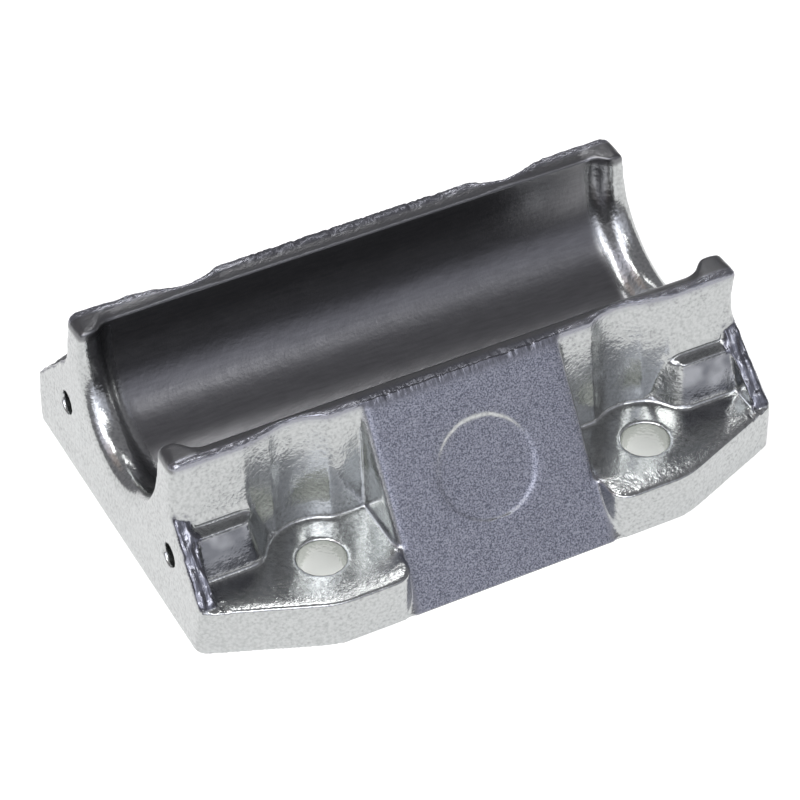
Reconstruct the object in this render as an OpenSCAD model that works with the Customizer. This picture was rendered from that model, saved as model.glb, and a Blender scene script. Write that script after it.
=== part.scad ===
// Guide shoe housing of an elevator car: one light-metal casting.
// A half-round channel, open at the top, holds the sliding insert between two end lips,
// and four bolt flanges fix the flat foot to the car frame.
// X runs along the channel, Z is up and the origin is the middle of the foot. Millimetres.

/* [Foot] */
// Length of the foot along the channel
foot_length = 142.5; // [126:0.5:180]
// Width of the foot across the flanges
foot_width = 109.6; // [104:0.2:120]
// Width of the foot at the end faces
end_width = 86.4; // [78:0.2:94]
// Length of each slanted corner along the channel
clip_length = 28.5; // [16:0.5:30]
// Thickness of the four bolt flanges
flange_thickness = 12.4; // [8:0.1:15]
// Round of the upright edge at each end corner
corner_round = 3.5; // [1:0.25:5]
// Round where a slanted corner meets the straight side
shoulder_round = 20; // [5:0.5:30]
// Round of each flange next to the middle block
flange_end_round = 5; // [1:0.25:7]

/* [Bolt holes] */
// Spacing of the bolt holes along the channel
bolt_spacing_x = 80; // [77:0.5:90]
// Spacing of the bolt holes across the channel
bolt_spacing_y = 80; // [76:0.5:88]
// Diameter of the bolt holes
bolt_hole_d = 11; // [6:0.25:13]

/* [Channel] */
// Height of the rims above the foot
rim_height = 40.5; // [38:0.1:48]
// Width of the channel, which is the diameter of its round floor
channel_width = 46.5; // [40:0.5:50]
// Thickness of metal under the channel floor
channel_floor = 12.8; // [9:0.1:14]
// Height of the end lips over the channel wall
lip_height = 3.4; // [1:0.1:4]
// Length of each end lip from its root to the end face at the foot
lip_length = 11.8; // [8.5:0.1:14]
// Round of each lip's inner side, both at its root and at its crest
lip_blend = 4; // [2.2:0.1:5]
// Round of the channel mouth at the end faces
mouth_round = 4.1; // [1:0.1:4.6]

/* [Side walls] */
// Width of each rim
rim_width = 4.7; // [4:0.1:6]
// Lean of the side walls in degrees, so that they widen towards the foot
wall_draft = 4.5; // [0:0.25:6]
// Depth of the round bolt-head recess where it cuts the rim
recess_depth = 2.4; // [1:0.1:3]
// Round that leads the recess out into the end wall
recess_blend = 16; // [5:0.5:25]
// Round of the rims at both ends, seen from the side
rim_end_round = 2; // [1:0.25:6]
// Round of the upright edge between an end face and a side wall
wall_end_round = 2; // [0.5:0.25:4]
// Lean of each end face from foot to rim
end_draft = 3; // [0:0.1:4]

/* [Middle block] */
// Length of the middle block along the channel
block_length = 48.6; // [38:0.2:50]
// Width of the middle block at the foot
block_foot = 109; // [100:0.2:112]
// Round of the block's two sloped edges
block_round = 2; // [0.5:0.1:4]
// Diameter of the blank round recess on the front slope
disc_d = 23.4; // [8:0.2:26]
// Depth of the blank round recess
disc_depth = 0.5; // [0.2:0.1:1]
// Height of the middle of the recess above the foot
disc_height = 21.5; // [15:0.5:25]

/* [End corners] */
// Thickness of the gusset at each end corner
gusset_thickness = 4; // [3:0.1:8]
// Height of the gusset where it meets the wall
gusset_top = 27; // [24:0.25:32]
// Height of the gusset at its outer end
gusset_foot = 13.2; // [12.5:0.1:18]
// Height of the ledge between gusset and recess
ledge_height = 23; // [18:0.25:24]
// Width of the ledge
ledge_width = 3.6; // [2:0.1:6]
// Lean of the low wall under the ledge, in degrees
ledge_draft = 16; // [0:0.5:18]
// Round of the low wall next to the recess
ledge_round = 1.5; // [0.5:0.25:4]
// Spacing of the two screw holes in each end face
end_hole_spacing = 55; // [48:0.5:62]
// Height of these screw holes above the foot
end_hole_height = 15.8; // [10:0.1:18]
// Diameter of these screw holes
end_hole_d = 5.5; // [2:0.1:6.5]
// Depth of these screw holes
end_hole_depth = 12; // [4:0.5:15]

/* [Hidden] */
$fn = 96;
// How far a cut runs past the face that it opens
cut_past = 10;
// Share of its radius by which a round stands proud of the faces it joins
round_proud = 0.001;
// Share of its radius by which the mouth round stops short of a full quarter
mouth_short = 0.01;
half_length = foot_length / 2;
half_foot = foot_width / 2;
half_end = end_width / 2;
half_block = block_length / 2;
half_block_foot = block_foot / 2;
channel_r = channel_width / 2;
channel_z = channel_floor + channel_r;
lip_r = channel_r - lip_height;
lip_root_x = half_length - lip_length;
mouth_r = lip_r + mouth_round;
mouth_x = end_face_x(channel_z - mouth_r) - mouth_round * (1 - mouth_short);
rim_y = channel_r + rim_width;
bolt_x = bolt_spacing_x / 2;
bolt_y = bolt_spacing_y / 2;
ledge_y = wall_y(ledge_height) + ledge_width;
recess_r = bolt_y - rim_y + recess_depth;
recess_foot_r = recess_r - (rim_height - flange_thickness) * tan(wall_draft);
block_run = half_block_foot - rim_y;
block_tilt = atan2(rim_height, block_run);
block_slope = norm([rim_height, block_run]);
end_hole_x = end_face_x(end_hole_height);

// Place of an end face along the channel at height z
function end_face_x(z) = half_length - end_draft * z / rim_height;
// Place of the outside of a side wall at height z
function wall_y(z) = rim_y + (rim_height - z) * tan(wall_draft);

// The metal outside a round of radius r at corner v, between the neighbours a and b
module corner_waste(a, v, b, r) {
    to_a = (a - v) / norm(a - v);
    to_b = (b - v) / norm(b - v);
    half_angle = acos(to_a * to_b) / 2;
    inside = r * (1 - round_proud);
    centre = v + (to_a + to_b) / norm(to_a + to_b) * inside / sin(half_angle);
    touch_a = v + to_a * inside / tan(half_angle);
    touch_b = v + to_b * inside / tan(half_angle);
    difference() {
        polygon([2 * v - centre, 2 * touch_a - centre, centre, 2 * touch_b - centre]);
        translate(centre) circle(r);
    }
}

// The same thing at all four corners
module quarters() {
    for (flip_x = [0, 1], flip_y = [0, 1])
        mirror([flip_x, 0, 0]) mirror([0, flip_y, 0]) children();
}

// A profile of Y and Z drawn flat, stood up along X from x0 to x1
module along_x(x0, x1) {
    translate([x0, 0, 0]) rotate([90, 0, 90]) linear_extrude(x1 - x0) children();
}

// One bolt flange: a quarter of the foot, with rounded upright edges
module flange() {
    inner = [half_block, half_foot];
    shoulder = [half_length - clip_length, half_foot];
    corner = [half_length, half_end];
    side = [half_block, 0];
    end = [half_length, 0];
    linear_extrude(flange_thickness) difference() {
        polygon([side, inner, shoulder, corner, end]);
        corner_waste(side, inner, shoulder, flange_end_round);
        corner_waste(inner, shoulder, corner, shoulder_round);
        corner_waste(shoulder, corner, end, corner_round);
    }
}

// Round recess for a bolt head from z0 to z1. Its wall leans by draft degrees, its radius at z1
// is r1, and a round of radius blend at z1 leads it out into a wall that is at y1 there.
module bolt_recess(y1, r1, blend, draft, z0, z1) {
    grow = (z1 - z0) * tan(draft);
    inside = blend * (1 - round_proud);
    lead = sqrt(pow(r1 + inside, 2) - pow(bolt_y - y1 + inside, 2));
    centre = [bolt_x + lead, y1 - inside];
    translate([bolt_x, bolt_y, z0]) cylinder(r1 = r1 - grow, r2 = r1, h = z1 - z0);
    difference() {
        translate([0, 0, z0]) linear_extrude(z1 - z0)
            polygon([centre, [bolt_x, bolt_y], [centre[0], bolt_y]]);
        translate([centre[0], centre[1], z0])
            cylinder(r1 = blend + grow, r2 = blend, h = z1 - z0);
    }
}

// The walls of the channel, with the four bolt-head recesses
module housing() {
    difference() {
        along_x(-half_length, half_length)
            polygon([[-wall_y(0), 0], [wall_y(0), 0], [rim_y, rim_height], [-rim_y, rim_height]]);
        quarters() {
            bolt_recess(rim_y, recess_r, recess_blend, wall_draft, flange_thickness, rim_height);
            upright_edge();
        }
    }
}

// Waste outside the rounded upright edge between an end face and a side wall, which both lean
module upright_edge() {
    end_lean = atan(end_draft / rim_height);
    wall_tan = tan(wall_draft);
    edge_length = norm([end_draft, rim_height * wall_tan, rim_height]);
    off_square = sin(end_lean) * sin(wall_draft);
    translate([half_length, wall_y(0), 0])
        rotate([asin(rim_height * wall_tan / edge_length), -end_lean, 0])
            translate([0, 0, -cut_past]) linear_extrude(edge_length + 2 * cut_past)
                corner_waste([0, -1], [0, 0], [-sqrt(1 - pow(off_square, 2)), off_square],
                             wall_end_round);
}

// The sloped block in the middle. It runs on between the flanges at the foot, and above them
// it is narrower, with two rounded edges on each slope.
module middle_block() {
    foot_reach = half_block + flange_end_round;
    difference() {
        along_x(-foot_reach, foot_reach)
            polygon([[-half_block_foot, 0], [half_block_foot, 0], [rim_y, rim_height],
                     [-rim_y, rim_height]]);
        quarters() intersection() {
            translate([0, half_block_foot, 0]) rotate([-block_tilt, 0, 0]) rotate([90, 0, 0])
                translate([0, 0, -cut_past]) linear_extrude(block_slope + 2 * cut_past) {
                    corner_waste([0, 0], [half_block, 0], [half_block, -half_block], block_round);
                    translate([half_block, -foot_width]) square([foot_reach, 2 * foot_width]);
                }
            translate([0, -cut_past, flange_thickness])
                cube([foot_length, foot_width, rim_height]);
        }
    }
}

// One end corner: the thin gusset and the low wall with its ledge
module end_corner() {
    ledge_foot_y = ledge_y + ledge_height * tan(ledge_draft);
    low_wall = (ledge_height - flange_thickness) * tan(ledge_draft);
    gusset_slope = (gusset_top - gusset_foot) / (half_end - wall_y(gusset_top));
    sunk = 2 * wall_end_round;
    gusset_root = wall_y(gusset_top) - sunk;
    intersection() {
        along_x(0, foot_length)
            polygon([[gusset_root, 0], [half_end, 0], [half_end, gusset_foot],
                     [gusset_root, gusset_top + gusset_slope * sunk]]);
        translate([-gusset_thickness, foot_width, 0]) rotate([90, 0, 0]) linear_extrude(foot_width)
            polygon([[end_face_x(0), 0], [end_face_x(rim_height), rim_height],
                     [foot_length, rim_height], [foot_length, 0]]);
    }
    difference() {
        along_x(bolt_x, end_face_x(ledge_height) - gusset_thickness / 2)
            polygon([[0, 0], [ledge_foot_y, 0], [ledge_y, ledge_height], [0, ledge_height]]);
        bolt_recess(ledge_y, recess_foot_r + low_wall, ledge_round, ledge_draft,
                    flange_thickness, ledge_height);
    }
}

// Waste outside the rounded upright edge of one end corner
module corner_edge() {
    shoulder = [half_length - clip_length, half_foot];
    corner = [half_length, half_end];
    end = [half_length, 0];
    linear_extrude(rim_height) corner_waste(shoulder, corner, end, corner_round);
}

// Outline seen from the side: leaning end faces and rims with round ends
module side_outline() {
    foot = [half_length, 0];
    top = [half_length - end_draft, rim_height];
    rotate([90, 0, 0]) linear_extrude(2 * foot_width, center = true) difference() {
        polygon([[-foot[0], 0], foot, top, [-top[0], rim_height]]);
        for (flip_x = [0, 1])
            mirror([flip_x, 0]) corner_waste([0, rim_height], top, foot, rim_end_round);
    }
}

// Half section of the channel's hollow: radius across, length along
module channel_section() {
    past = half_length + cut_past;
    inside = lip_blend * (1 - round_proud);
    root = [channel_r - lip_blend, lip_root_x];
    crest_r = lip_r + inside;
    crest = [crest_r, lip_root_x + sqrt(pow(2 * inside, 2) - pow(crest_r - root[0], 2))];
    translate([0, -lip_root_x]) square([channel_r, 2 * lip_root_x]);
    translate([0, -past]) square([lip_r, 2 * past]);
    for (flip_y = [0, 1]) mirror([0, flip_y]) {
        translate(root) circle(lip_blend);
        difference() {
            polygon([[0, 0], [root[0], 0], root, crest, [0, crest[1]]]);
            translate(crest) circle(lip_blend);
        }
        difference() {
            translate([0, mouth_x]) square([mouth_r, past - mouth_x]);
            translate([mouth_r, mouth_x]) circle(mouth_round);
        }
    }
}

// The channel's hollow: round below its axis and straight up to the open top
module channel() {
    translate([0, 0, channel_z]) {
        rotate([0, 90, 0]) rotate_extrude() channel_section();
        linear_extrude(rim_height - channel_z + cut_past)
            for (flip_y = [0, 1]) mirror([0, flip_y]) rotate(90) channel_section();
    }
}

// The bolt hole and the end screw hole of one corner
module corner_holes() {
    translate([bolt_x, bolt_y, -cut_past])
        cylinder(d = bolt_hole_d, h = flange_thickness + 2 * cut_past);
    translate([end_hole_x - end_hole_depth, end_hole_spacing / 2, end_hole_height])
        rotate([0, 90, 0]) cylinder(d = end_hole_d, h = end_hole_depth + cut_past);
}

// Blank round recess on the front slope
module front_disc() {
    on_slope = -half_block_foot + block_run * disc_height / rim_height;
    translate([0, on_slope, disc_height]) rotate([block_tilt, 0, 0])
        translate([0, 0, -disc_depth]) cylinder(d = disc_d, h = disc_depth + cut_past);
}

// The whole casting
module shoe_body() {
    color("silver") difference() {
        intersection() {
            side_outline();
            union() {
                quarters() flange();
                housing();
                middle_block();
                quarters() end_corner();
            }
        }
        quarters() corner_edge();
        channel();
        quarters() corner_holes();
        front_disc();
    }
}

shoe_body();
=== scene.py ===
import math

import bmesh
import bpy
from mathutils import Matrix, Vector, noise
from mathutils.bvhtree import BVHTree


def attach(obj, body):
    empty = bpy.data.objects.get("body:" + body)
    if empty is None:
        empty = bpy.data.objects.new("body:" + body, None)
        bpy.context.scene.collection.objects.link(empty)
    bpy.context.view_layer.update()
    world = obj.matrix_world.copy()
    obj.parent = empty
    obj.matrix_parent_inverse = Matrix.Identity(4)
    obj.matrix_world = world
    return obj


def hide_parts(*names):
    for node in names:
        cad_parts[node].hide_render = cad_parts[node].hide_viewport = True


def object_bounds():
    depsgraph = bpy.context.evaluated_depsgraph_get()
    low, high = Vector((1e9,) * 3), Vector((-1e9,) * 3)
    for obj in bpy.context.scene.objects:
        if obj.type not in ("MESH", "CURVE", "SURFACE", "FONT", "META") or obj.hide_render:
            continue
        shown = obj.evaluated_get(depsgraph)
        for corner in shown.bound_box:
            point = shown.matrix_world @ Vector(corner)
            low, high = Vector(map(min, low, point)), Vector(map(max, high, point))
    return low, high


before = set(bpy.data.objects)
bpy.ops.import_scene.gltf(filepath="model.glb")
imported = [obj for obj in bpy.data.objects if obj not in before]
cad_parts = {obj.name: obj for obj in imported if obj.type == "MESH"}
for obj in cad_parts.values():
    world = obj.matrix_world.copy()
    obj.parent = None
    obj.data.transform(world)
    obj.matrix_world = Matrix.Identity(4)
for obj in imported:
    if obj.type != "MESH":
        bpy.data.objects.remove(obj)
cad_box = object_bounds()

# The casting: the one-piece housing of the guide shoe.
# Die-cast light metal with softened edges. It is cast in one, sheared off its sprue along the rims
# and the gussets, drilled for its bolts, and otherwise left as it comes from the die.
MM = 0.001

# Sizes of the casting in mm. They follow from those of its source, and some are rounded.
RIM_Z = 40.5
RIM_Y = 27.95
CHANNEL_RADIUS = 23.25
CHANNEL_AXIS_Z = 36.05
LIP_ROOT_X = 59.4
BLOCK_HALF_LENGTH = 24.3
FLOOR_Z = 12.4
LEDGE_Z = 23.0
BOLT_X = 40.0
BOLT_Y = 40.0
BOLT_HOLE_RADIUS = 5.5
END_HOLE_Y = 27.5
END_HOLE_Z = 15.8
RECESS_RADIUS = 14.45
RECESS_EDGE_X = 32.0
LEAD_OUT_RADIUS = 16.0
LEAD_OUT_START_X = 45.6
LEAD_OUT_X = 51.85
GUSSET_INNER_X = 64.3
GUSSET_TOP_Y = 29.0
GUSSET_TOP_Z = 27.0
GUSSET_FALL = 0.972

# The skin: how finely it is made, and how often each part of it is evened out.
MERGE_DISTANCE = 0.001 * MM
VOXEL = 0.45 * MM
MOST_TRIANGLES = 190000
EDGE_SMOOTHING = 6
FACE_SMOOTHING = 14
NUB_SMOOTHING = 10
LEDGE_SMOOTHING = 25

merged = bmesh.new()
merged.from_mesh(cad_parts["shoe_body"].data)
bmesh.ops.remove_doubles(merged, verts=merged.verts, dist=MERGE_DISTANCE)
die = BVHTree.FromBMesh(merged)
raw_mesh = bpy.data.meshes.new("raw_casting")
merged.to_mesh(raw_mesh)
merged.free()
raw_casting = bpy.data.objects.new("raw_casting", raw_mesh)
bpy.context.scene.collection.objects.link(raw_casting)
remesh = raw_casting.modifiers.new("even_skin", "REMESH")
remesh.mode = "VOXEL"
remesh.voxel_size = VOXEL


def with_modifiers(source, name):
    """The mesh that an object has with its modifiers, as an object that takes its place."""
    graph = bpy.context.evaluated_depsgraph_get()
    mesh = bpy.data.meshes.new_from_object(source.evaluated_get(graph))
    made = bpy.data.objects.new(name, mesh)
    mesh.name = name
    bpy.context.scene.collection.objects.link(made)
    bpy.data.objects.remove(source)
    return made


skin = with_modifiers(raw_casting, "skin")
surface = bmesh.new()
surface.from_mesh(skin.data)

# The edges of the drilled holes stay crisp, within these distances of a hole's axis. The screw holes
# lie further out along the channel than this X.
CRISP_BOLT_RADIUS = BOLT_HOLE_RADIUS + 1.2
CRISP_SCREW_RADIUS = 3.9
SCREW_HOLES_FROM_X = 50.0


def near_hole(at):
    """Whether a place is at the edge of a drilled hole."""
    bolt = math.hypot(abs(at.x) - BOLT_X, abs(at.y) - BOLT_Y)
    screw = math.hypot(abs(at.y) - END_HOLE_Y, at.z - END_HOLE_Z)
    return bolt < CRISP_BOLT_RADIUS or (screw < CRISP_SCREW_RADIUS and abs(at.x) > SCREW_HOLES_FROM_X)


def smooth(vertices, times):
    """Evens out a part of the skin."""
    for step in range(times):
        bmesh.ops.smooth_vert(surface, verts=vertices, factor=0.5, use_axis_x=True, use_axis_y=True,
                              use_axis_z=True)


crisp = [v for v in surface.verts if near_hole(v.co / MM)]
kept = [v.co.copy() for v in crisp]
smooth(surface.verts, EDGE_SMOOTHING)
for vertex, place in zip(crisp, kept):
    vertex.co = place

# The edges are round now. What still lies on the die's faces loses its ripples, the nubs on the ends
# of the rims become round, and so do the corners between the ledges and the walls.
ON_DIE = 0.06 * MM
NUB_X = 60 * MM
NUB_Z = 36.5 * MM
LEDGE_CORNER_LOW = (47 * MM, 28.6 * MM, 22.2 * MM)
LEDGE_CORNER_HIGH = (66 * MM, 31.8 * MM, 25.5 * MM)


def on_ledge_corner(at):
    """Whether a place is at the corner between a ledge and the wall above it."""
    mirrored = (abs(at.x), abs(at.y), at.z)
    return all(a < c < b for a, c, b in zip(LEDGE_CORNER_LOW, mirrored, LEDGE_CORNER_HIGH))


smooth([v for v in surface.verts if die.find_nearest(v.co)[3] < ON_DIE and not near_hole(v.co / MM)],
       FACE_SMOOTHING)
smooth([v for v in surface.verts
        if v.co.z > NUB_Z and abs(v.co.x) > NUB_X and abs(v.co.y) < CHANNEL_RADIUS * MM], NUB_SMOOTHING)
smooth([v for v in surface.verts if on_ledge_corner(v.co)], LEDGE_SMOOTHING)
surface.normal_update()

# What the die, the trimming and the shearing do to the skin, in mm.
# Lumps have a size along the channel, a size across it, a height, and a layer of the noise. Gusset
# lumps have a size along the channel, a size down the gusset and a height.
WAVE_LENGTH = 14
WAVE_HEIGHT = 0.05
TRIM_DEPTH = 2.5
TRIM_FALL = 0.9
TRIM_STEP = 0.25
COARSE_LUMPS = (4.0, 1.5, 0.4, 3)
FINE_LUMPS = (1.2, 1.1, 0.2, 9)
TEETH = (1.1, 5.0, 0.6, 7)
LIP_CALM = 0.6
COARSE_TEARS = (1.2, 3.5, 0.45)
FINE_TEARS = (0.9, 1.6, 0.15)
GUSSET_WEAR = 0.12
TEAR_INNER_Y = 28.6
TEAR_DEPTH = 1.2
GUSSET_CLEARANCE = 6
GUSSET_CEILING_Z = 30
OUTER_WALL_Y = CHANNEL_RADIUS + 1.5
SWELL_TOP_Z = 36.0
WALL_SWELL = 0.7
END_BURR = 1.3
BURR_X = (64, 68)
BURR_Z = (32, 39.5)
FOOT_EDGE_Z = 0.8


def fade(value, start, end):
    """0 at the start, 1 at the end and smooth between, so that one finish blends into the next."""
    t = min(max((value - start) / (end - start), 0.0), 1.0)
    return t * t * (3 - 2 * t)


def rim_edge(along):
    """Where the outer edge of a rim lies, at a distance along the channel from the middle."""
    if RECESS_EDGE_X < along < LEAD_OUT_START_X:
        return BOLT_Y - math.sqrt(RECESS_RADIUS ** 2 - (along - BOLT_X) ** 2)
    if LEAD_OUT_START_X <= along < LEAD_OUT_X:
        rise = math.sqrt(LEAD_OUT_RADIUS ** 2 - (along - LEAD_OUT_X) ** 2)
        return RIM_Y - LEAD_OUT_RADIUS + rise
    return RIM_Y


def rim_share(at):
    """How far a place lies across a rim: 0 at the channel, 1 at the outer edge."""
    return (abs(at.y) - CHANNEL_RADIUS) / (rim_edge(abs(at.x)) - CHANNEL_RADIUS)


def block_share(at):
    """1 along the middle block, 0 beside it."""
    return 1 - fade(abs(at.x), BLOCK_HALF_LENGTH - 0.6, BLOCK_HALF_LENGTH + 0.6)


def gusset_rise(at):
    """How far a place lies above the sloping top of the gusset at its corner."""
    return at.z - (GUSSET_TOP_Z - (abs(at.y) - GUSSET_TOP_Y) * GUSSET_FALL)


def rim_lumps(at, kind):
    """The height of lumps of one kind on a rim."""
    length, width, height, layer = kind
    return abs(noise.noise(Vector((at.x / length, at.y / width, layer)))) * height


def gusset_lumps(at, kind):
    """The height of lumps of one kind on a gusset."""
    width, length, height = kind
    return noise.noise(Vector((at.x / width, at.y / length, at.z / length))) * height


def rim_cut(at):
    """How much the trimming takes off a rim: more toward the channel, and raggedly at the outer edge."""
    share = min(max(rim_share(at), 0.0), 1.0)
    at_lip = fade(abs(at.x), LIP_ROOT_X - 1, LIP_ROOT_X + 4)
    bead = fade(share, 0.45, 0.70)
    fall = (TRIM_FALL * (1 - share) ** 2 + TRIM_STEP * (1 - bead)) * (1 - at_lip)
    on_block = block_share(at)
    ragged = (rim_lumps(at, COARSE_LUMPS) + rim_lumps(at, FINE_LUMPS)) * (1 - on_block)
    ragged += rim_lumps(at, TEETH) * on_block
    ragged *= bead * (1 - LIP_CALM * at_lip)
    return (fall + ragged) * fade(at.z, RIM_Z - 1.6, RIM_Z - 0.3)


def lead_out_bulge(along):
    """How far the arc that leads a recess out stands proud of its chord."""
    share = (along - LEAD_OUT_START_X) / (LEAD_OUT_X - LEAD_OUT_START_X)
    start = rim_edge(LEAD_OUT_START_X)
    return rim_edge(along) - start - (RIM_Y - start) * share


def relief(at, normal):
    """How far the skin moves at a place: die waviness, trim marks, tears, swollen walls, a burr."""
    along, across = abs(at.x), abs(at.y)
    outward = math.copysign(1.0, at.y)
    move = normal * (noise.noise(at / WAVE_LENGTH) * WAVE_HEIGHT)
    if at.z > RIM_Z - TRIM_DEPTH and across < RIM_Y + 2:
        move.z -= rim_cut(at)
    at_gusset = along > GUSSET_INNER_X and across > TEAR_INNER_Y and at.z < GUSSET_CEILING_Z
    if at_gusset and -TEAR_DEPTH < gusset_rise(at) < GUSSET_CLEARANCE:
        tears = gusset_lumps(at, COARSE_TEARS) + gusset_lumps(at, FINE_TEARS) - GUSSET_WEAR
        move += normal * tears * fade(normal.z, 0.2, 0.55)
    if OUTER_WALL_Y < across < RIM_Y + 4 and LEDGE_Z < at.z < SWELL_TOP_Z:
        swell = WALL_SWELL * ((SWELL_TOP_Z - at.z) / (SWELL_TOP_Z - LEDGE_Z)) ** 2
        beside_recess = fade(along, LEAD_OUT_X - 0.8, LEAD_OUT_X + 0.2)
        move.y += outward * swell * beside_recess * fade(abs(normal.y), 0.7, 0.9)
    on_lead_out = LEAD_OUT_START_X < along < LEAD_OUT_X and at.z > FLOOR_Z + 1
    if on_lead_out and OUTER_WALL_Y < across < RIM_Y + 5:
        move.y -= outward * lead_out_bulge(along) * fade(abs(normal.y), 0.6, 0.8)
    if at.y < 0:
        move.x += END_BURR * fade(at.z, *BURR_Z) * fade(at.x, *BURR_X)
    return move


for vertex in surface.verts:
    if vertex.co.z > FOOT_EDGE_Z * MM:
        vertex.co += relief(vertex.co / MM, vertex.normal) * MM
low, high = (Vector(corner) for corner in cad_box)
for vertex in surface.verts:
    vertex.co = Vector(min(max(c, a), b) for c, a, b in zip(vertex.co, low, high))
surface.to_mesh(skin.data)
surface.free()
thin = skin.modifiers.new("thin", "DECIMATE")
thin.ratio = min(1.0, MOST_TRIANGLES / (2 * len(skin.data.polygons)))
casting = with_modifiers(skin, "shoe_casting")
casting.data.polygons.foreach_set("use_smooth", [True] * len(casting.data.polygons))

# Where the finish differs: trimmed on top of the rims, where the dark colour also runs over their inner
# edges as painted shade, ragged along their edges where the flash was sheared off, torn on the gussets
# and along the top of the middle block, blasted with grit on the block's two slopes, given painted
# shade on the low walls under the ledges, scraped by the core in the channel, and drilled in the bolt holes.
SIDE_EDGE_FLASH = 0.7
RIM_FLASH = 0.35
TORN_Y = (28.4, 44)
TORN_Z = (12.6, GUSSET_CEILING_Z)
TORN_DEPTH = 1.5
LOW_WALL_X = (47, 49)
LOW_WALL_Y = (32.2, 33.0)

zones = {name: [] for name in ("trimmed_and_shaded", "ragged", "torn", "blasted", "ledge_shade", "cored", "drilled")}
for vertex in casting.data.vertices:
    at, normal = vertex.co / MM, vertex.normal
    along, across = abs(at.x), abs(at.y)
    share = rim_share(at)
    on_block = block_share(at)
    rim = fade(at.z, RIM_Z - 2.8, RIM_Z - 1.6)
    bead = fade(share, 0.40, 0.65) * fade(at.z, RIM_Z - 1.9, RIM_Z - 1.0)
    side_edge = fade(abs(along - BLOCK_HALF_LENGTH), 1.1, 0.4) * fade(normal.z, 0.1, 0.3)
    side_edge *= fade(across, RIM_Y, RIM_Y + 1)
    # The dark trimmed zone reaches down over the rims' inner edges, where its dark colour is painted shade
    # that hides their highlight.
    zones["trimmed_and_shaded"].append(rim * (1 - fade(share, 0.85, 1.0)))
    zones["ragged"].append(max(bead * (1 - on_block), SIDE_EDGE_FLASH * side_edge, RIM_FLASH * rim))
    comb = on_block * fade(at.z, RIM_Z - 2.0, RIM_Z - 1.0) * fade(across, RIM_Y - 1.5, RIM_Y - 0.5)
    at_gusset = along > GUSSET_INNER_X and TORN_Y[0] < across < TORN_Y[1] and TORN_Z[0] < at.z < TORN_Z[1]
    on_gusset = at_gusset and -TORN_DEPTH < gusset_rise(at) < GUSSET_CLEARANCE
    gusset = fade(normal.z, 0.2, 0.45) if on_gusset else 0.0
    zones["torn"].append(max(gusset, comb, bead * on_block))
    slope = fade(BLOCK_HALF_LENGTH - along, -0.6, 0.2) * fade(normal.z, 0.3, 0.45)
    slope *= fade(abs(normal.y), 0.5, 0.7) * fade(across, RIM_Y - 0.6, RIM_Y)
    zones["blasted"].append(slope)
    # Painted shade: the low walls under the ledges are painted darker, standing in for the dark floor they
    # mirror and the shade under the ledges.
    low_wall = fade(abs(normal.y), 0.75, 0.9) * fade(at.z, FLOOR_Z + 0.6, FLOOR_Z + 1.5)
    low_wall *= fade(across, *LOW_WALL_Y) * fade(along, *LOW_WALL_X) * (1 - fade(at.z, LEDGE_Z - 1, LEDGE_Z))
    zones["ledge_shade"].append(low_wall)
    from_axis = math.hypot(at.y, min(at.z - CHANNEL_AXIS_Z, 0.0))
    in_channel = 1 - fade(from_axis, CHANNEL_RADIUS + 0.1, CHANNEL_RADIUS + 0.6)
    zones["cored"].append(in_channel * (1 - fade(along, LIP_ROOT_X - 1, LIP_ROOT_X + 3)))
    from_bolt = math.hypot(along - BOLT_X, across - BOLT_Y)
    zones["drilled"].append(1 - fade(from_bolt, BOLT_HOLE_RADIUS + 0.1, BOLT_HOLE_RADIUS + 0.3))
for name, values in zones.items():
    casting.data.attributes.new(name, "FLOAT", "POINT").data.foreach_set("value", values)


def linear(hex_colour):
    """An sRGB hex colour as linear RGBA."""
    parts = [int(hex_colour[i:i + 2], 16) / 255 for i in (1, 3, 5)]
    return [c / 12.92 if c <= 0.04045 else ((c + 0.055) / 1.055) ** 2.4 for c in parts] + [1.0]


def add(tree, kind, inputs=None, **settings):
    """Adds a node, sets its properties and fills its inputs with values or links."""
    node = tree.nodes.new(kind)
    for key, value in settings.items():
        setattr(node, key, value)
    for key, value in (inputs or {}).items():
        if isinstance(value, bpy.types.NodeSocket):
            tree.links.new(value, node.inputs[key])
        else:
            node.inputs[key].default_value = value
    return node


# As-cast aluminium: a bright grey skin that mirrors the room softly, with the orange peel of the die
# and dark pits. It is blue-grey and sparkles where it is blasted, dull in the channel, dark on the
# trimmed rims and, as painted shade, over their inner edges, darker under the ledges as painted
# shade, and bright in the drilled holes.
SKIN_COLOURS = ("#b4b6b5", "#c1c3c2")
SLOPE_COLOURS = ("#6a6d79", "#b0b2bd")
# The darker two-tone under the ledges is painted shade, mottled by the waves.
LEDGE_SHADE_COLOURS = ("#73757b", "#9b9da2")
CORE_COLOURS = ("#68686a", "#828284")
PIT_COLOUR = "#a1a2a2"
HOLE_COLOUR = "#dcdedb"
# Dark colour of the trimmed rim tops, also painted shade on the rims' inner edges.
RIM_COLOUR = "#63635f"
FLASH_COLOUR = "#9b9ca3"
GUSSET_COLOUR = "#787980"
SKIN_ROUGHNESS = (0.15, 0.22)
SLOPE_ROUGHNESS = 0.45
CORE_ROUGHNESS = 0.30
RIM_ROUGHNESS = 0.36
FLASH_ROUGHNESS = 0.26
CORE_CALM = 0.5

# Each pattern's size in mm, its detail, and its scale along X, Y and Z, which is low where the pattern
# is drawn out. The grit is about twice as coarse as the real one, so that it shows.
PATTERNS = {
    "peel": (0.75, 1.5, (1.0, 1.0, 1.0)),
    "grit": (0.36, 2.0, (1.0, 1.0, 1.0)),
    "waves": (4.0, 1.0, (1.0, 1.0, 1.0)),
    "clouds": (9.0, 2.0, (1.0, 1.0, 1.0)),
    "scrapes": (0.7, 2.0, (0.15, 1.0, 1.0)),
    "shear": (0.6, 2.0, (0.4, 1.0, 1.0)),
    "tears": (0.8, 2.0, (1.0, 0.16, 0.16)),
}

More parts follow.
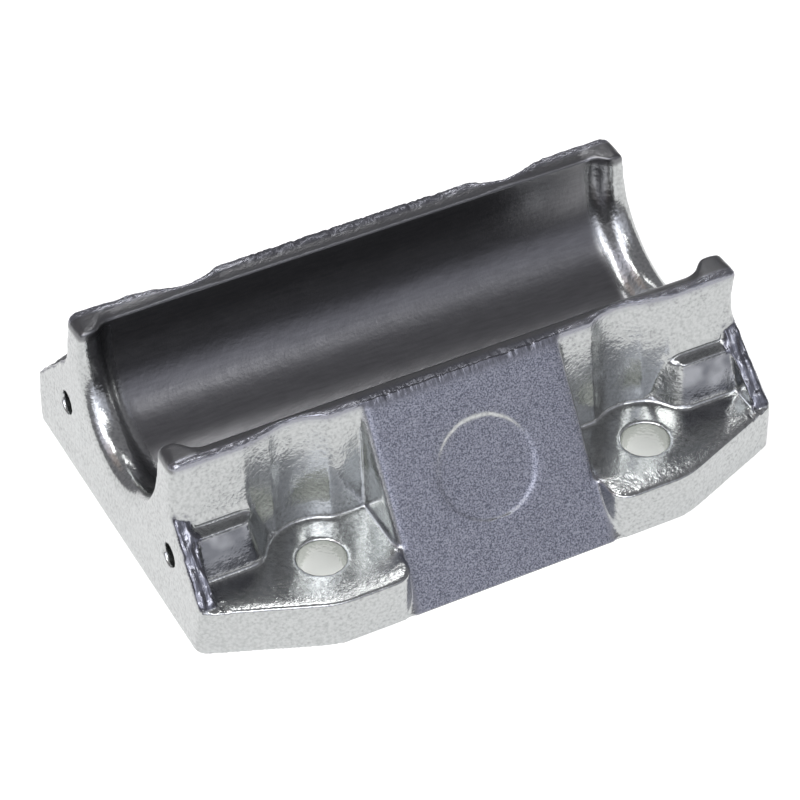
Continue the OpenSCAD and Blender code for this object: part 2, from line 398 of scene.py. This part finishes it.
metal = bpy.data.materials.new("as_cast_aluminium")
metal.use_nodes = True
tree = metal.node_tree
tree.nodes.clear()
place = add(tree, "ShaderNodeTexCoord").outputs["Object"]
zone = {name: add(tree, "ShaderNodeAttribute", attribute_name=name).outputs["Fac"] for name in zones}
pattern = {}
for name, (size, detail, scale) in PATTERNS.items():
    drawn_out = add(tree, "ShaderNodeMapping", {"Vector": place, "Scale": scale})
    pattern[name] = add(tree, "ShaderNodeTexNoise", {
        "Vector": drawn_out.outputs["Vector"], "Scale": 1 / (size * MM), "Detail": detail}).outputs["Fac"]

# Bumps: a pattern, where it shows, and its height in mm. The core leaves the channel calmer.
grain = add(tree, "ShaderNodeMix", {"Factor": zone["blasted"], "A": pattern["peel"], "B": pattern["grit"]})
calm = add(tree, "ShaderNodeMapRange", {"Value": zone["cored"], "To Min": 1.0, "To Max": CORE_CALM})
BUMPS = [
    (pattern["waves"], calm.outputs["Result"], 0.10),
    (grain.outputs["Result"], calm.outputs["Result"], 0.05),
    (pattern["shear"], zone["ragged"], 0.15),
    (pattern["tears"], zone["torn"], 0.19),
]
bumped = {}
for height, strength, depth in BUMPS:
    bump = add(tree, "ShaderNodeBump", {
        "Height": height, "Strength": strength, "Distance": depth * MM, **bumped})
    bumped = {"Normal": bump.outputs["Normal"]}

# Two-tone finishes: a pattern and the two of its values between which the colour changes.
TWO_TONES = {
    "skin": ("peel", 0.38, 0.62, SKIN_COLOURS),
    "slope": ("grit", 0.36, 0.64, SLOPE_COLOURS),
    "ledge_shade_tone": ("waves", 0.35, 0.65, LEDGE_SHADE_COLOURS),
    "core": ("scrapes", 0.0, 1.0, CORE_COLOURS),
}
tone = {}
for name, (source, dark_at, pale_at, (dark, pale)) in TWO_TONES.items():
    change = add(tree, "ShaderNodeMapRange", {
        "Value": pattern[source], "From Min": dark_at, "From Max": pale_at})
    tone[name] = add(tree, "ShaderNodeMix", {
        "Factor": change.outputs["Result"], "A": linear(dark), "B": linear(pale)},
        data_type="RGBA").outputs["Result"]

# Pits lie in the hollows of the peel, and in some places more than in others.
HOLLOW = (0.30, 0.42)
CLEAN_TO_PITTED = (0.40, 0.62)
CLEAN_SHARE = 0.15
hollows = add(tree, "ShaderNodeMapRange", {
    "Value": pattern["peel"], "From Min": HOLLOW[0], "From Max": HOLLOW[1], "To Min": 1.0, "To Max": 0.0})
places = add(tree, "ShaderNodeMapRange", {
    "Value": pattern["clouds"], "From Min": CLEAN_TO_PITTED[0], "From Max": CLEAN_TO_PITTED[1],
    "To Min": CLEAN_SHARE, "To Max": 1.0})
pitted = add(tree, "ShaderNodeMath", {0: hollows.outputs["Result"], 1: places.outputs["Result"]},
             operation="MULTIPLY")

# Each finish covers the ones before it where its zone is.
FINISHES = [
    (pitted.outputs["Value"], linear(PIT_COLOUR)),
    (zone["blasted"], tone["slope"]),
    # Painted shade on the low walls under the ledges.
    (zone["ledge_shade"], tone["ledge_shade_tone"]),
    (zone["cored"], tone["core"]),
    (zone["drilled"], linear(HOLE_COLOUR)),
    (zone["trimmed_and_shaded"], linear(RIM_COLOUR)),
    (zone["ragged"], linear(FLASH_COLOUR)),
    (zone["torn"], linear(GUSSET_COLOUR)),
]
colour = tone["skin"]
for where, finish in FINISHES:
    colour = add(tree, "ShaderNodeMix", {"Factor": where, "A": colour, "B": finish},
                 data_type="RGBA").outputs["Result"]

ROUGHNESSES = [
    (zone["blasted"], SLOPE_ROUGHNESS),
    (zone["cored"], CORE_ROUGHNESS),
    (zone["trimmed_and_shaded"], RIM_ROUGHNESS),
    (zone["ragged"], FLASH_ROUGHNESS),
]
SMOOTH_TO_ROUGH = (0.35, 0.65)
roughness = add(tree, "ShaderNodeMapRange", {
    "Value": pattern["clouds"], "From Min": SMOOTH_TO_ROUGH[0], "From Max": SMOOTH_TO_ROUGH[1],
    "To Min": SKIN_ROUGHNESS[0], "To Max": SKIN_ROUGHNESS[1]}).outputs["Result"]
for where, level in ROUGHNESSES:
    roughness = add(tree, "ShaderNodeMix", {"Factor": where, "A": roughness, "B": level}).outputs["Result"]

shader = add(tree, "ShaderNodeBsdfPrincipled", {
    "Base Color": colour, "Metallic": 1.0, "Roughness": roughness, **bumped})
add(tree, "ShaderNodeOutputMaterial", {"Surface": shader.outputs["BSDF"]})
casting.data.materials.clear()
casting.data.materials.append(metal)
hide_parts("shoe_body")
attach(casting, "root")

# The floor: a plain white table top.
# It is a matte sheet. The camera and the metal's reflections also see it lit from within a little, so
# that it is white around the object and still takes the object's shadow.
FLOOR_HALF_SIZE = 3.0
FLOOR_DROP = 0.05 * MM
TABLE_COLOUR = "#d2d2d0"
SEEN_GLOW = 0.78
MIRRORED_GLOW = 0.62

floor_mesh = bpy.data.meshes.new("floor")
floor_shape = bmesh.new()
bmesh.ops.create_grid(floor_shape, x_segments=1, y_segments=1, size=FLOOR_HALF_SIZE)
bmesh.ops.translate(floor_shape, verts=floor_shape.verts, vec=(0, 0, -FLOOR_DROP))
floor_shape.to_mesh(floor_mesh)
floor_shape.free()
floor = bpy.data.objects.new("floor", floor_mesh)
bpy.context.scene.collection.objects.link(floor)

# Matte paint: an even white with no gloss.
paint = bpy.data.materials.new("white_table")
paint.use_nodes = True
tree = paint.node_tree
tree.nodes.clear()
matte = add(tree, "ShaderNodeBsdfDiffuse", {"Color": linear(TABLE_COLOUR)})
rays = add(tree, "ShaderNodeLightPath")
mirrored = add(tree, "ShaderNodeMath", {
    0: rays.outputs["Is Glossy Ray"], 1: rays.outputs["Is Transmission Ray"]}, operation="MAXIMUM")
mirrored_glow = add(tree, "ShaderNodeMath", {0: mirrored.outputs["Value"], 1: MIRRORED_GLOW},
                    operation="MULTIPLY")
glow_level = add(tree, "ShaderNodeMath", {
    0: rays.outputs["Is Camera Ray"], 1: SEEN_GLOW, 2: mirrored_glow.outputs["Value"]},
    operation="MULTIPLY_ADD")
glow = add(tree, "ShaderNodeEmission", {
    "Color": linear("#ffffff"), "Strength": glow_level.outputs["Value"]})
both = add(tree, "ShaderNodeAddShader", {0: matte.outputs["BSDF"], 1: glow.outputs["Emission"]})
add(tree, "ShaderNodeOutputMaterial", {"Surface": both.outputs["Shader"]})
floor_mesh.materials.append(paint)

# The studio: an evenly grey room over the table, white at the horizon.
# Pale windows stand in front and to the left, with soft edges. Soft boxes hang around and over the
# object. The metal mirrors all of them.
HORIZON = (1.0, 1.0, 1.0, 1.0)
ROOM = (0.25, 0.247, 0.264, 1.0)
ROOM_FROM = 0.07

world = bpy.data.worlds.new("studio")
bpy.context.scene.world = world
world.use_nodes = True
tree = world.node_tree
tree.nodes.clear()
direction = add(tree, "ShaderNodeTexCoord").outputs["Generated"]
height = add(tree, "ShaderNodeSeparateXYZ", {"Vector": direction}).outputs["Z"]
ramp = add(tree, "ShaderNodeValToRGB", {"Fac": height})
horizon, room = ramp.color_ramp.elements
horizon.position = 0.0
horizon.color = HORIZON
room.position = ROOM_FROM
room.color = ROOM
air = add(tree, "ShaderNodeBackground", {"Color": ramp.outputs["Color"], "Strength": 1.0})

# Each window's direction, the angles from its middle at which it begins and ends to fade, in degrees,
# its tint and its brightness.
WINDOWS = [
    ((-0.10, -0.83, 0.55), 6, 30, "#e8ebfa", 0.85),
    ((0.52, -0.66, 0.54), 4, 24, "#e8ebfa", 0.42),
    ((-0.44, -0.60, 0.67), 9, 28, "#f4f5ff", 1.6),
    ((0.15, -0.61, 0.78), 3, 7, "#ffffff", 5.0),
    ((-0.72, -0.08, 0.69), 10, 24, "#e6e4f6", 0.7),
    ((-0.55, 0.25, 0.80), 8, 24, "#d8b8a0", 0.30),
]
sky = air.outputs["Background"]
for toward, inner, outer, tint, brightness in WINDOWS:
    closeness = add(tree, "ShaderNodeVectorMath", {0: direction, 1: Vector(toward).normalized()},
                    operation="DOT_PRODUCT")
    pane = add(tree, "ShaderNodeMapRange", {
        "Value": closeness.outputs["Value"], "From Min": math.cos(math.radians(outer)),
        "From Max": math.cos(math.radians(inner)), "To Min": 0.0, "To Max": brightness},
        interpolation_type="SMOOTHSTEP")
    light = add(tree, "ShaderNodeBackground", {"Color": linear(tint), "Strength": pane.outputs["Result"]})
    sky = add(tree, "ShaderNodeAddShader", {0: sky, 1: light.outputs["Background"]}).outputs["Shader"]
add(tree, "ShaderNodeOutputWorld", {"Surface": sky})

# Each soft box's name, direction, distance, width and height in metres, and brightness.
SOFT_BOXES = [
    ("edge_strip", (0.18, 0.42, 0.89), 1.2, 0.12, 0.24, 7.0),
    ("back_strip", (0.34, 0.56, 0.76), 1.2, 0.12, 0.06, 9.0),
    ("rim_strip", (0.437, 0.610, 0.661), 1.2, 0.07, 0.08, 5.0),
    ("left_box", (-0.54, -0.27, 0.80), 1.3, 0.44, 0.44, 5.0),
    ("top_box", (-0.32, 0.03, 0.945), 1.2, 0.24, 0.24, 7.0),
    ("front_lamp", (-0.25, -0.64, 0.83), 0.54, 0.14, 0.09, 5.2),
]
for name, toward, distance, box_width, box_height, brightness in SOFT_BOXES:
    lamp = bpy.data.lights.new(name, "AREA")
    lamp.shape = "RECTANGLE"
    lamp.size = box_width
    lamp.size_y = box_height
    lamp.energy = brightness * math.pi * box_width * box_height
    box = bpy.data.objects.new(name, lamp)
    box.location = Vector(toward).normalized() * distance
    box.rotation_euler = (-box.location).to_track_quat("-Z", "Y").to_euler()
    bpy.context.scene.collection.objects.link(box)

# The camera: the photograph's place and lens.
# It looks down on the front left corner from a little over 0.8 m, with a long lens and a slight roll.
LENS = 160.6
SENSOR = 36.0
CLIP_START = 0.01
AZIMUTH = math.radians(-26.771)
ELEVATION = math.radians(41.942)
ROLL = math.radians(-0.739)
SPOT = Vector((-0.27046, -0.53500, 0.54764))

camera_data = bpy.data.cameras.new("camera")
camera_data.lens = LENS
camera_data.sensor_width = SENSOR
camera_data.clip_start = CLIP_START
camera = bpy.data.objects.new("camera", camera_data)
back = Vector((math.sin(AZIMUTH) * math.cos(ELEVATION), -math.cos(AZIMUTH) * math.cos(ELEVATION),
               math.sin(ELEVATION)))
right = Vector((math.cos(AZIMUTH), math.sin(AZIMUTH), 0))
up = back.cross(right)
rolled_right = right * math.cos(ROLL) + up * math.sin(ROLL)
rolled_up = up * math.cos(ROLL) - right * math.sin(ROLL)
turn = Matrix((rolled_right, rolled_up, back)).transposed().to_4x4()
camera.matrix_world = Matrix.Translation(SPOT) @ turn
bpy.context.scene.collection.objects.link(camera)
bpy.context.scene.camera = camera
bpy.context.scene.view_settings.view_transform = "Standard"
